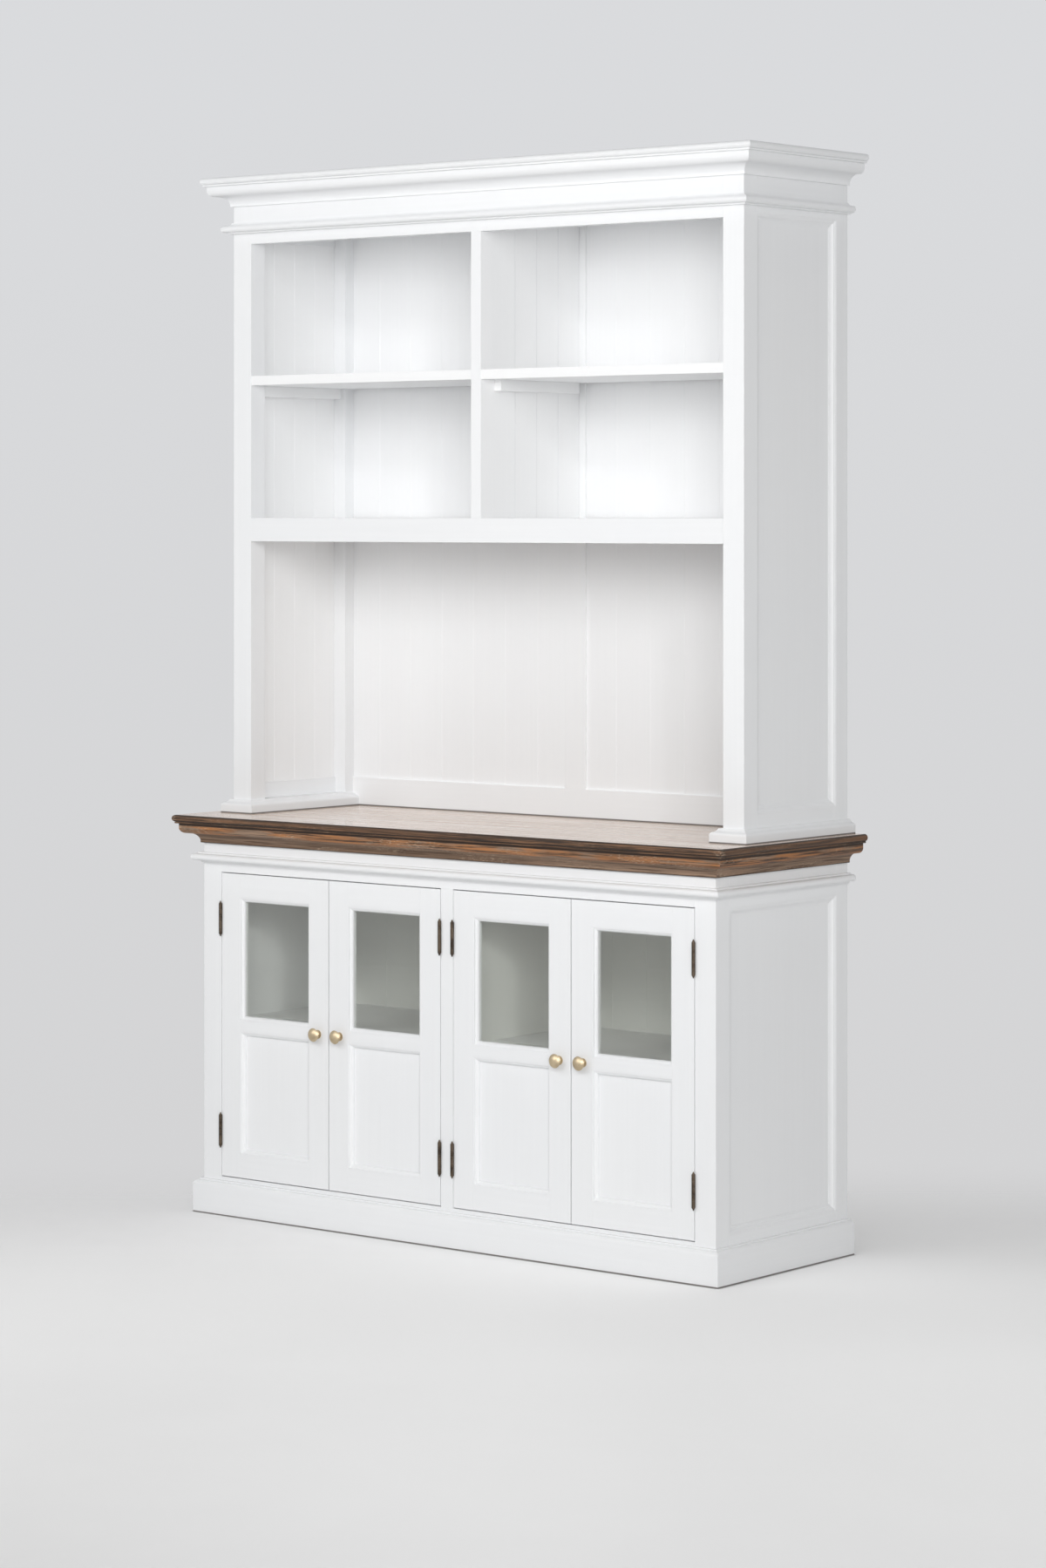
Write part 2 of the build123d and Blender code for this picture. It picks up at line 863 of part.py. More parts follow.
def make_hutch_back():
    x_span, y_span, z_span = back_boards_span()
    groove = both_sides([board(x_span, y_span, z_span)])
    boards = boards_between(x_span, y_span, z_span, hutch_back_board_count, 0, (-1,))
    write("hutch_back_boards", both_sides(boards))

    face = back - back_frame_face
    frame_y = (face, face + back_frame_thickness)
    low_rail_top = worktop_top + back_frame_low_height
    half_muntin = muntin_width / 2
    rails_x = (-post_inner, post_inner)
    low_rail = board(rails_x, frame_y, (worktop_top, low_rail_top))
    top_rail = board(rails_x, frame_y, (roof_low, cap_under))
    muntin = board((-half_muntin, half_muntin), frame_y, (low_rail_top, roof_low))
    members = [without(member, groove) for member in (low_rail, top_rail, muntin)]
    write("hutch_back_frame", members)


def make_hutch_feet():
    profile = foot_section()
    depth = back - hutch_front
    inner_end = back - back_frame_face
    inner_depth = inner_end - hutch_front
    outer = moulding(profile, depth, 1, 0)
    front = moulding(profile, post_width, 1, 1)
    inner = moulding(profile, inner_depth, 0, 1)
    lengths = [
        Pos(half_width, (back + hutch_front) / 2, worktop_top) * Rot(0, 0, 90) * outer,
        Pos((post_inner + half_width) / 2, hutch_front, worktop_top) * front,
        Pos(post_inner, (inner_end + hutch_front) / 2, worktop_top) * Rot(0, 0, -90) * inner,
    ]
    write("hutch_foot_mouldings", both_sides(lengths))


# ---- Doors ------------------------------------------------------------------------------------

def door_span(door):
    """The left and right edges of a door."""
    x, _, hand = hinge_places(door)
    edge = x + hand * hinge_gap / 2
    return min(edge, edge + hand * door_width), max(edge, edge + hand * door_width)


def door_openings():
    """The heights of the panel opening and of the glass opening."""
    lock_middle = (door_low + door_high) / 2
    panel = (door_low + door_rail_height, lock_middle - lock_rail_height / 2)
    glass = (lock_middle + lock_rail_height / 2, door_high - door_rail_height)
    return panel, glass


def bevelled_pane(width, height):
    """A pane in the XY plane, its bevelled face to +Z and its back on z = 0."""
    edge = extrude(Rectangle(width, height), glass_edge_thickness)
    low = Pos(0, 0, glass_edge_thickness) * Rectangle(width, height)
    high = Pos(0, 0, glass_thickness) * Rectangle(width - 2 * glass_bevel, height - 2 * glass_bevel)
    return edge + loft([low.face(), high.face()])


def make_door(door):
    name = "door_" + str(door + 1)
    left, right = door_span(door)
    hand = hinge_places(door)[2]
    middle_x = (left + right) / 2
    y_span = (base_front, door_back)
    panel_z, glass_z = door_openings()
    inside = (left + door_stile_width, right - door_stile_width)
    width = inside[1] - inside[0]

    knob_x = right - knob_inset if hand > 0 else left + knob_inset
    knob_place = Pos(knob_x, base_front, (door_low + door_high) / 2) * Rot(90, 0, 0)
    knob_pieces = [knob_place * knob(), knob_place * knob_nut()]

    whole = (door_low, door_high)
    stiles = [board((left, inside[0]), y_span, whole), board((inside[1], right), y_span, whole)]
    hinge_stile = 0 if hand > 0 else 1
    stiles[hinge_stile] = cut_hinges(stiles[hinge_stile], (door,), 1)
    hole = knob_place * Pos(0, 0, -door_thickness / 2) * Cylinder(knob_stud_radius, door_thickness)
    stiles[1 - hinge_stile] -= hole
    rails = [
        board(inside, y_span, z_span)
        for z_span in ((door_low, panel_z[0]), (panel_z[1], glass_z[0]), (glass_z[1], door_high))
    ]
    write(name + "_frame", stiles + rails)

    face = base_front + door_moulding_depth
    write(name + "_panel", [board(inside, (face, face + door_panel_thickness), panel_z)])

    glass_middle = (glass_z[0] + glass_z[1]) / 2
    pane = bevelled_pane(width, glass_z[1] - glass_z[0])
    pane_place = Pos(middle_x, face + glass_thickness, glass_middle) * Rot(90, 0, 0)
    write(name + "_glass", [pane_place * pane])

    mouldings = []
    for z_span, infill in ((panel_z, door_panel_thickness), (glass_z, glass_thickness)):
        centre = (z_span[0] + z_span[1]) / 2
        height = z_span[1] - z_span[0]
        outer = picture_frame(door_moulding_section(), width, height)
        mouldings += [Pos(middle_x, face, centre) * Rot(90, 0, 0) * length for length in outer]
        behind = face + infill
        inner = picture_frame(inner_bead_section(door_back - behind), width, height)
        mouldings += [Pos(middle_x, behind, centre) * Rot(-90, 0, 0) * length for length in inner]
    write(name + "_mouldings", mouldings)

    write(name + "_knob", knob_pieces)

    strike_x = catch_middle(door)
    strike_low = door_head - catch_drop + strike_rise
    strike = board(
        (strike_x - catch_width / 2, strike_x + catch_width / 2),
        (door_back, door_back + strike_thickness),
        (strike_low, strike_low + strike_height),
    )
    leaves = placed_hinges(door, lambda: [hinge_leaf(1)] + hinge_screws(1))
    write(name + "_hinge_leaves", leaves + [strike])


def catch_middle(door):
    """The x of a door's catch, near its meeting edge."""
    left, right = door_span(door)
    hand = hinge_places(door)[2]
    reach = catch_width / 2 + door_stile_width / 4
    return right - reach if hand > 0 else left + reach


def make_catches():
    """Magnet blocks on the back of the top rail, which hang down behind the doors."""
    blocks = []
    for door in range(4):
        x = catch_middle(door)
        blocks.append(
            board(
                (x - catch_width / 2, x + catch_width / 2),
                (base_rail_back, base_rail_back + catch_depth),
                (door_head - catch_drop, door_head - catch_drop + catch_height),
            )
        )
    write("door_catches", blocks)


def make_fixed_hinge_pieces():
    leaves = []
    pins = []
    for door in range(4):
        leaves += placed_hinges(door, lambda: [hinge_leaf(-1)] + hinge_screws(-1))
        pins += placed_hinges(door, lambda: [hinge_pin()])
    write("hinge_frame_leaves", leaves)
    write("hinge_pins", pins)


def make_joining_plates():
    low = -plate_height / 2
    plate = board((-plate_width / 2, plate_width / 2), (-plate_thickness, 0), (low, -low))
    pieces = [without(plate, plate_screws())] + plate_screws()
    write("joining_plates", [place * piece for place in joining_places() for piece in pieces])


# ---- Everything -------------------------------------------------------------------------------

os.makedirs("parts", exist_ok=True)
make_plinth()
make_base_side_frames()
make_base_side_panels()
base_moulding_span = (base_post_back, base_post_rear_face)
write("base_side_mouldings", side_mouldings(base_moulding_span, (base_panel_low, base_panel_high)))
make_base_front_frame()
make_base_inside()
make_base_back()
write("base_bead", round_three_sides(bead_section(True), carcass_width, base_front, base_bead_level))
make_worktop()
make_hutch_side_frames()
make_hutch_side_panels()
make_hutch_front_rails()
make_hutch_decks()
make_hutch_divider()
make_hutch_back()
make_hutch_feet()
write("hutch_bead", round_three_sides(bead_section(False), carcass_width, hutch_front, hutch_bead_level))
make_crown()
make_fixed_hinge_pieces()
make_catches()
make_joining_plates()
for door_index in range(4):
    make_door(door_index)
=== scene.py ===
"""Looks of the dresser with hutch: softened boards, paint, waxed wood, glass and brass."""

import json
import math
import random

import bmesh
import bpy
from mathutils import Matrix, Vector


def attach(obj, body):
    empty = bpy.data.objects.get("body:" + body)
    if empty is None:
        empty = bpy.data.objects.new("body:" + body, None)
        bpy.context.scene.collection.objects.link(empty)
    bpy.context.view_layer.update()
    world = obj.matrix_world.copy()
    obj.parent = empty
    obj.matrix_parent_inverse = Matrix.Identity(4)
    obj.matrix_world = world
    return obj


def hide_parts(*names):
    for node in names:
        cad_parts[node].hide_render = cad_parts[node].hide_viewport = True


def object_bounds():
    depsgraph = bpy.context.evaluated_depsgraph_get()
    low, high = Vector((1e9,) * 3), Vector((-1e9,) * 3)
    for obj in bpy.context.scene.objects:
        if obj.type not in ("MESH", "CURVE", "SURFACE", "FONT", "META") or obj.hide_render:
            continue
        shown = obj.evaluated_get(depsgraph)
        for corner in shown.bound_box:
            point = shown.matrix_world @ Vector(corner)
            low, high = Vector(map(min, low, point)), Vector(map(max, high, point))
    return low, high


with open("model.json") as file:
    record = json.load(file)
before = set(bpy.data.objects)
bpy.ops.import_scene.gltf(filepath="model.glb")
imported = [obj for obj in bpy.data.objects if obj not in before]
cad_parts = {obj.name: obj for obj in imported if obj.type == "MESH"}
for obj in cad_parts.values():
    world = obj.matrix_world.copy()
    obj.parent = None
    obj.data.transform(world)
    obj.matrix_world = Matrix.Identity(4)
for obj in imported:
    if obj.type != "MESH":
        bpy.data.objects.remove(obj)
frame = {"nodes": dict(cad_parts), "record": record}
cad_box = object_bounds()
NODES = frame["nodes"]
BODY_OF = {
    node: body
    for body, members in frame["record"]["behaviour"]["bodies"].items()
    for node in members
}
SLOT_OF = {row["node"]: row["material_slot"] for row in frame["record"]["subparts"]}


# ---- Camera -----------------------------------------------------------------------------------

IMAGE_HEIGHT = 1799
FOCAL_PIXELS = 4666.4
HORIZON_PIXEL = 590.1
SENSOR = 36.0
CAMERA_PLACE = (5.2855, -6.4992, 1.4811)
CAMERA_YAW = math.radians(38.92)

camera_data = bpy.data.cameras.new("camera")
camera_data.sensor_width = SENSOR
camera_data.lens = FOCAL_PIXELS * SENSOR / IMAGE_HEIGHT
camera_data.shift_y = (HORIZON_PIXEL - IMAGE_HEIGHT / 2) / IMAGE_HEIGHT
camera = bpy.data.objects.new("camera", camera_data)
camera.location = CAMERA_PLACE
camera.rotation_euler = (math.radians(90), 0, CAMERA_YAW)
bpy.context.scene.collection.objects.link(camera)
bpy.context.scene.camera = camera


# ---- Node helpers -----------------------------------------------------------------------------

class Graph:
    """The node tree of a material or world, with short calls for the nodes that are used most."""

    def __init__(self, owner, output="ShaderNodeOutputMaterial"):
        owner.use_nodes = True
        self.owner = owner
        self.tree = owner.node_tree
        self.tree.nodes.clear()
        self.output = self.add(output)

    def add(self, kind, **settings):
        node = self.tree.nodes.new(kind)
        for key, value in settings.items():
            setattr(node, key, value)
        return node

    def feed(self, socket, value):
        """Links or sets a socket. A colour is given without its alpha, and None leaves it be."""
        if isinstance(value, bpy.types.NodeSocket):
            self.tree.links.new(value, socket)
        elif socket.type == "RGBA" and isinstance(value, tuple):
            socket.default_value = (*value, 1)
        elif value is not None:
            socket.default_value = value

    def place(self):
        """Where on the object a point lies, in metres."""
        return self.add("ShaderNodeTexCoord").outputs["Object"]

    def grain(self):
        """Where on its board a point lies, with the first axis along the board."""
        return self.add("ShaderNodeAttribute", attribute_name="grain").outputs["Vector"]

    def tone(self):
        """A random number from 0 to 1 for each board."""
        return self.add("ShaderNodeAttribute", attribute_name="tone").outputs["Fac"]

    def split(self, vector):
        node = self.add("ShaderNodeSeparateXYZ")
        self.feed(node.inputs[0], vector)
        return node.outputs

    def scaled(self, vector, scale):
        node = self.add("ShaderNodeVectorMath", operation="MULTIPLY")
        self.feed(node.inputs[0], vector)
        self.feed(node.inputs[1], scale)
        return node.outputs[0]

    def dot(self, vector, direction):
        node = self.add("ShaderNodeVectorMath", operation="DOT_PRODUCT")
        self.feed(node.inputs[0], vector)
        self.feed(node.inputs[1], direction)
        return node.outputs["Value"]

    def length(self, vector):
        node = self.add("ShaderNodeVectorMath", operation="LENGTH")
        self.feed(node.inputs[0], vector)
        return node.outputs["Value"]

    def noise(self, vector, scale=1.0, w=None, detail=3.0, roughness=0.55, distortion=0.0):
        node = self.add("ShaderNodeTexNoise", noise_dimensions="4D")
        self.feed(node.inputs["Vector"], vector)
        self.feed(node.inputs["W"], w)
        self.feed(node.inputs["Scale"], scale)
        self.feed(node.inputs["Detail"], detail)
        self.feed(node.inputs["Roughness"], roughness)
        self.feed(node.inputs["Distortion"], distortion)
        return node.outputs[0]

    def along_grain(self, stretch, **settings):
        """Noise that is drawn out along each board, and differs from board to board."""
        return self.noise(self.scaled(self.grain(), stretch), w=self.tone(), **settings)

    def cells(self, vector, w):
        """Distance to the nearest of a scatter of points."""
        node = self.add("ShaderNodeTexVoronoi", voronoi_dimensions="4D")
        self.feed(node.inputs["Vector"], vector)
        self.feed(node.inputs["W"], w)
        self.feed(node.inputs["Scale"], 1.0)
        return node.outputs["Distance"]

    def nearness(self, reach):
        """1 in the open, towards 0 where something stands within reach."""
        node = self.add("ShaderNodeAmbientOcclusion", samples=8)
        self.feed(node.inputs["Distance"], reach)
        return node.outputs["AO"]

    def math(self, operation, a, b=None):
        node = self.add("ShaderNodeMath", operation=operation)
        self.feed(node.inputs[0], a)
        self.feed(node.inputs[1], b)
        return node.outputs[0]

    def times(self, a, b):
        return self.math("MULTIPLY", a, b)

    def larger(self, a, b):
        return self.math("MAXIMUM", a, b)

    def ranged(self, value, low, high, to_low=0.0, to_high=1.0, smooth=True):
        """Follows the value from low to high, where it gives to_low and to_high."""
        node = self.add("ShaderNodeMapRange")
        node.interpolation_type = "SMOOTHSTEP" if smooth else "LINEAR"
        self.feed(node.inputs["Value"], value)
        self.feed(node.inputs["From Min"], low)
        self.feed(node.inputs["From Max"], high)
        self.feed(node.inputs["To Min"], to_low)
        self.feed(node.inputs["To Max"], to_high)
        return node.outputs[0]

    def band(self, value, low, high, soft):
        """1 where the value lies between low and high, with soft ends."""
        rise = self.ranged(value, low, low + soft)
        fall = self.ranged(value, high, high - soft)
        return self.times(rise, fall)

    def mix(self, factor, a, b, blend="MIX"):
        node = self.add("ShaderNodeMix", data_type="RGBA", blend_type=blend)
        self.feed(node.inputs["Factor"], factor)
        self.feed(node.inputs[6], a)
        self.feed(node.inputs[7], b)
        return node.outputs[2]

    def dimmed(self, colour, level):
        """The colour times a level of grey."""
        grey = self.add("ShaderNodeCombineColor")
        for socket in grey.inputs[:3]:
            self.feed(socket, level)
        return self.mix(1.0, colour, grey.outputs[0], "MULTIPLY")

    def ramp(self, factor, *stops):
        node = self.add("ShaderNodeValToRGB")
        elements = node.color_ramp.elements
        while len(elements) < len(stops):
            elements.new(0.5)
        for element, (position, colour) in zip(elements, stops):
            element.position = position
            element.color = (*colour, 1)
        self.feed(node.inputs[0], factor)
        return node.outputs[0]

    def bump(self, height, distance, strength, normal=None):
        node = self.add("ShaderNodeBump")
        self.feed(node.inputs["Strength"], strength)
        self.feed(node.inputs["Distance"], distance)
        self.feed(node.inputs["Height"], height)
        self.feed(node.inputs["Normal"], normal)
        return node.outputs[0]

    def rays(self, *kinds):
        """1 for a ray of any of these kinds."""
        path = self.add("ShaderNodeLightPath")
        level = path.outputs[kinds[0]]
        for kind in kinds[1:]:
            level = self.larger(level, path.outputs[kind])
        return level

    def principled(self, **values):
        node = self.add("ShaderNodeBsdfPrincipled")
        for key, value in values.items():
            name = key.replace("_", " ").title().replace("Ior", "IOR")
            self.feed(node.inputs[name], value)
        return node.outputs[0]

    def shader(self, kind, *values):
        """A shader of one kind, with the values of its first sockets."""
        node = self.add(kind)
        for socket, value in zip(node.inputs, values):
            self.feed(socket, value)
        return node.outputs[0]

    def done(self, shader):
        """Sends the shader to the output, and gives back what the tree belongs to."""
        self.feed(self.output.inputs["Surface"], shader)
        return self.owner


# ---- Materials --------------------------------------------------------------------------------

# Noise along the boards. The stretch is its scale along, across and through them, per metre.
BRUSH_MARKS = {"stretch": (3.0, 160.0, 160.0), "detail": 4.0}
FIGURE = {"stretch": (1.6, 55.0, 55.0), "distortion": 0.6}
PORES = {"stretch": (12.0, 1100.0, 1100.0)}
TOP_STREAKS = {"stretch": (2.0, 230.0, 230.0), "detail": 5.0, "roughness": 0.62}
EDGE_STREAKS = {"stretch": (8.0, 340.0, 340.0), "detail": 6.0, "roughness": 0.68}
EDGE_PATCHES = {"stretch": (6.0, 60.0, 60.0)}
FLECKS = {"stretch": (90.0, 520.0, 520.0), "detail": 6.0, "roughness": 0.7}
FLECK_ZONES = {"stretch": (5.0, 30.0, 30.0), "detail": 1.0}
KNOT_STRETCH = (5.0, 36.0, 36.0)

# Heights of the painted shadow gaps in the paint, in metres: dark bands that stand in for the
# shade at the foot of parts on the floor and on the worktop.
FLOOR_SHADOW_GAP = (0.0032, 0.0024)
WORKTOP_SHADOW_GAP = (0.8424, 0.8458)
SHADOW_GAP_SOFT = 0.0006
SHADOW_GAP_STRENGTH = 0.85
SHADOW_GAP_BROWN = (0.100, 0.080, 0.065)


def paint_material(name, colour, tint, roughness):
    """Brushed satin paint: faint brush marks, a slow drift of tone, and dark bands of painted
    shade at the feet.
    """
    g = Graph(bpy.data.materials.new(name))
    place = g.place()
    drift = g.noise(place, 2.2, detail=2.0)
    brush = g.along_grain(**BRUSH_MARKS)
    pores = g.noise(place, 420.0, detail=2.0)
    height = g.split(place)[2]
    # Painted shade: a dark band at the floor and where parts stand on the worktop, in place of
    # shadow gaps.
    at_floor = g.ranged(height, *FLOOR_SHADOW_GAP)
    on_worktop = g.band(height, *WORKTOP_SHADOW_GAP, SHADOW_GAP_SOFT)
    painted_gap_shade = g.times(g.larger(at_floor, on_worktop), SHADOW_GAP_STRENGTH)
    base = g.mix(g.ranged(drift, 0.3, 0.7), colour, tint)
    base = g.mix(painted_gap_shade, base, SHADOW_GAP_BROWN)
    relief = g.bump(brush, 0.00005, 0.6)
    shader = g.principled(
        base_color=g.dimmed(base, g.ranged(brush, 0.25, 0.75, 0.985, 1.0)),
        roughness=g.ranged(brush, 0.3, 0.7, roughness - 0.04, roughness + 0.05),
        normal=g.bump(pores, 0.00003, 0.5, relief),
    )
    return g.done(shader)


DARK_UMBER = (0.030, 0.017, 0.010)
UMBER = (0.098, 0.052, 0.028)
BROWN = (0.190, 0.108, 0.060)
RED_BROWN = (0.215, 0.112, 0.060)
ORANGE = (0.430, 0.185, 0.070)
GREY_BROWN = (0.245, 0.170, 0.118)
PALE_BROWN = (0.380, 0.270, 0.190)
WARM_GREY = (0.350, 0.230, 0.155)
PALE = (0.560, 0.430, 0.310)
KNOT_RED = (0.110, 0.030, 0.015)
SHEEN_PINK = (1.0, 0.80, 0.68)
TOP_RAMP = ((0.34, BROWN), (0.47, GREY_BROWN), (0.58, PALE_BROWN), (0.70, GREY_BROWN))
EDGE_RAMP = ((0.42, DARK_UMBER), (0.49, UMBER), (0.56, RED_BROWN))
RUSTY_RAMP = ((0.41, DARK_UMBER), (0.46, RED_BROWN), (0.53, ORANGE))
GREYED_RAMP = ((0.40, UMBER), (0.48, GREY_BROWN), (0.58, WARM_GREY))
CORNER_SHADE_REACH = 0.006


def top_wood_material(name):
    """The waxed top boards, with painted shade: darker in the corners where other parts stand on
    them.
    """
    g = Graph(bpy.data.materials.new(name))
    figure = g.along_grain(**FIGURE)
    streak = g.along_grain(**TOP_STREAKS)
    dark_pores = g.ranged(g.along_grain(**PORES), 0.60, 0.72)
    # Painted shade: the wood turns dark umber where parts stand close, in place of the shade in
    # those corners.
    painted_corner_shade = g.ranged(g.nearness(CORNER_SHADE_REACH), 0.45, 0.85, 0.9, 0.0)
    colour = g.ramp(g.math("ADD", g.times(figure, 0.6), g.times(streak, 0.4)), *TOP_RAMP)
    colour = g.mix(g.ranged(g.tone(), 0.0, 1.0, 0.0, 0.25), colour, BROWN)
    colour = g.mix(g.times(dark_pores, 0.7), colour, DARK_UMBER)
    colour = g.mix(painted_corner_shade, colour, DARK_UMBER)
    height = g.math("SUBTRACT", streak, g.times(dark_pores, 0.6))
    shader = g.principled(
        base_color=colour,
        roughness=g.ranged(streak, 0.3, 0.7, 0.20, 0.32),
        normal=g.bump(height, 0.00008, 0.4),
        coat_weight=g.ranged(streak, 0.42, 0.62, 1.0, 0.4),
        coat_roughness=0.10,
        sheen_weight=0.31,
        sheen_roughness=0.4,
        sheen_tint=SHEEN_PINK,
    )
    return g.done(shader)


# Heights on the worktop's edge, and the reach of its front mitres, in metres. The foot, groove,
# under-nose and rim heights bound lines of painted shade.
FOOT_SHADE = (0.7862, 0.7850)
OVOLO = (0.8020, 0.8212)
OVOLO_SOFT = 0.0016
BELOW_GROOVE = (0.8212, 0.8200)
GROOVE = (0.8204, 0.8262)
UNDER_NOSE = (0.8284, 0.8316)
BELOW_NOSE = (0.8284, 0.8200)
LINE_SOFT = 0.0008
RIM_SHADE = (0.8398, 0.8414)
MITRE_X = (0.700, 0.716)
MITRE_Y = (-0.228, -0.240)


def moulded_wood_material(name):
    """The reclaimed wood of the worktop's edge, in bands of brown, orange and grey-brown, with
    dark lines of painted shade.
    """
    g = Graph(bpy.data.materials.new(name))
    x, y, z = g.split(g.place())
    figure = g.along_grain(**FIGURE)
    streak = g.along_grain(**EDGE_STREAKS)
    patch = g.along_grain(**EDGE_PATCHES)
    fleck = g.along_grain(**FLECKS)
    fleck_zone = g.along_grain(**FLECK_ZONES)
    dark_pores = g.ranged(g.along_grain(**PORES), 0.58, 0.70)
    knot = g.ranged(g.cells(g.scaled(g.grain(), KNOT_STRETCH), g.tone()), 0.16, 0.08)
    ovolo = g.band(z, *OVOLO, OVOLO_SOFT)
    base = g.ramp(streak, *EDGE_RAMP)
    base = g.mix(g.ranged(z, *BELOW_GROOVE), base, g.ramp(streak, *GREYED_RAMP))
    rusty = g.times(ovolo, g.ranged(patch, 0.40, 0.52))
    base = g.mix(rusty, base, g.ramp(streak, *RUSTY_RAMP))
    base = g.mix(g.times(g.ranged(figure, 0.50, 0.40), 0.5), base, UMBER)
    base = g.mix(g.times(g.times(knot, ovolo), 0.8), base, KNOT_RED)
    flecks = g.times(g.ranged(fleck, 0.50, 0.66), g.ranged(fleck_zone, 0.50, 0.60))
    base = g.mix(g.times(flecks, g.ranged(z, *BELOW_NOSE, 0.15, 0.75)), base, PALE)
    mitre = g.times(g.ranged(g.math("ABSOLUTE", x), *MITRE_X), g.ranged(y, *MITRE_Y))
    nicks = g.times(mitre, g.ranged(fleck, 0.48, 0.56))
    base = g.mix(g.times(nicks, 0.45), base, PALE)
    base = g.mix(g.times(dark_pores, 0.6), base, DARK_UMBER)
    # Painted shade: dark lines along the top of the nose, in the groove, under the nose and at the
    # foot of the edge.
    rim = g.ranged(z, *RIM_SHADE)
    groove = g.band(z, *GROOVE, LINE_SOFT)
    under_nose = g.band(z, *UNDER_NOSE, LINE_SOFT)
    foot = g.ranged(z, *FOOT_SHADE)
    painted_shade_lines = g.larger(g.larger(rim, groove), g.larger(under_nose, foot))
    base = g.mix(g.times(painted_shade_lines, 0.85), base, DARK_UMBER)
    height = g.math("SUBTRACT", streak, g.times(dark_pores, 0.6))
    shader = g.principled(
        base_color=base,
        roughness=g.ranged(streak, 0.3, 0.7, 0.45, 0.62),
        specular_ior_level=0.35,
        normal=g.bump(height, 0.0004, 0.8),
    )
    return g.done(shader)


SCRATCH_SCALE = (900.0, 900.0, 140.0)


def metal_material(name, colour, dark, roughness, patina):
    """Metal with a slow patina and fine scratches."""
    g = Graph(bpy.data.materials.new(name))
    place = g.place()
    cloud = g.noise(place, 60.0, detail=4.0)
    scratch = g.noise(g.scaled(place, SCRATCH_SCALE))
    shader = g.principled(
        base_color=g.mix(g.ranged(cloud, 0.42, 0.42 + patina), colour, dark),
        metallic=1.0,
        roughness=g.ranged(scratch, 0.3, 0.7, roughness - 0.06, roughness + 0.10),
        normal=g.bump(scratch, 0.00004, 0.5),
    )
    return g.done(shader)


def plastic_material(name, colour, darker):
    """Moulded plastic with a fine spark-eroded texture."""
    g = Graph(bpy.data.materials.new(name))
    place = g.place()
    spark = g.noise(place, 900.0, detail=2.0)
    cloud = g.noise(place, 30.0, detail=2.0)
    shader = g.principled(
        base_color=g.mix(g.ranged(cloud, 0.35, 0.65), colour, darker),
        roughness=0.55,
        normal=g.bump(spark, 0.00005, 0.5),
    )
    return g.done(shader)


GLASS_GREEN = (0.974, 0.990, 0.968)
SHADOW_GREEN = (0.978, 0.990, 0.970)


def glass_material(name):
    """Clear glass that lets light through to the inside, with a faint green cast and dust."""
    g = Graph(bpy.data.materials.new(name))
    place = g.place()
    wave = g.noise(place, 9.0, detail=1.0)
    dust = g.noise(place, 300.0)
    glass = g.principled(
        base_color=GLASS_GREEN,
        roughness=g.ranged(dust, 0.4, 0.8, 0.0, 0.03),
        transmission_weight=1.0,
        ior=1.5,
        normal=g.bump(wave, 0.0002, 0.3),
    )
    clear = g.shader("ShaderNodeBsdfTransparent", SHADOW_GREEN)
    unlit = g.rays("Is Shadow Ray", "Is Diffuse Ray")
    return g.done(g.shader("ShaderNodeMixShader", unlit, glass, clear))


WHITE = (0.918, 0.925, 0.932)
WHITE_TINT = (0.908, 0.917, 0.928)
INSIDE = (0.918, 0.920, 0.895)
INSIDE_TINT = (0.905, 0.908, 0.884)
# Lighter copies of the white paint, as painted light: for the inside and the hutch's back, where
# the lamps' light falls short.
BRIGHTENED_WHITE = (0.976, 0.979, 0.982)
BRIGHTENED_TINT = (0.968, 0.972, 0.977)
BRIGHTENED_BACK_WHITE = (0.958, 0.963, 0.970)
BRIGHTENED_BACK_TINT = (0.952, 0.958, 0.967)
BRASS = (0.60, 0.49, 0.33)
DULL_BRASS = (0.40, 0.31, 0.20)
BRONZE = (0.125, 0.095, 0.070)
DARK_BRONZE = (0.050, 0.038, 0.030)
CREAM = (0.75, 0.74, 0.70)
DARK_CREAM = (0.705, 0.6956, 0.658)
ZINC = (0.62, 0.62, 0.61)
DULL_ZINC = (0.50, 0.50, 0.50)

MATERIALS = {
    "white_paint": paint_material("satin_paint", WHITE, WHITE_TINT, 0.40),
    "inside_paint": paint_material("inside_paint", INSIDE, INSIDE_TINT, 0.55),
    "worktop_wood": moulded_wood_material("reclaimed_wood"),
    "knob_brass": metal_material("aged_brass", BRASS, DULL_BRASS, 0.40, patina=0.4),
    "hinge_bronze": metal_material("dark_bronze", BRONZE, DARK_BRONZE, 0.42, patina=0.25),
    "catch_plastic": plastic_material("catch_plastic", CREAM, DARK_CREAM),
    "plate_steel": metal_material("zinc_plate", ZINC, DULL_ZINC, 0.34, patina=0.3),
    "pane_glass": glass_material("pane_glass"),
}
TOP_WOOD = top_wood_material("waxed_top")
# Painted light: brighter copies of the paint for the inside and for the hutch's back.
BRIGHTENED_PAINT = paint_material("brightened_paint", BRIGHTENED_WHITE, BRIGHTENED_TINT, 0.45)
BRIGHTENED_BACK_PAINT = paint_material("brightened_back_paint", BRIGHTENED_BACK_WHITE, BRIGHTENED_BACK_TINT, 0.50)


# ---- Softened pieces --------------------------------------------------------------------------

MICRON = 1e-6
EASED_ANGLE = math.radians(30)
CURVED_ANGLE = math.radians(12)
FLAT = math.radians(0.05)
SHORT_EDGE = 0.009
LEVEL = 0.999
GRAIN_SHIFT = 40
FINE_ARRIS = 0.00025
ARRIS = 0.0005
SOFTENED_SLOTS = ("white_paint", "inside_paint", "worktop_wood")
FINE_WORDS = ("moulding", "bead", "door", "panel")
CHAMFERED_NODES = (
    "base_back_boards",
    "hutch_back_boards",
    "hutch_side_linings",
    "worktop_boards",
)
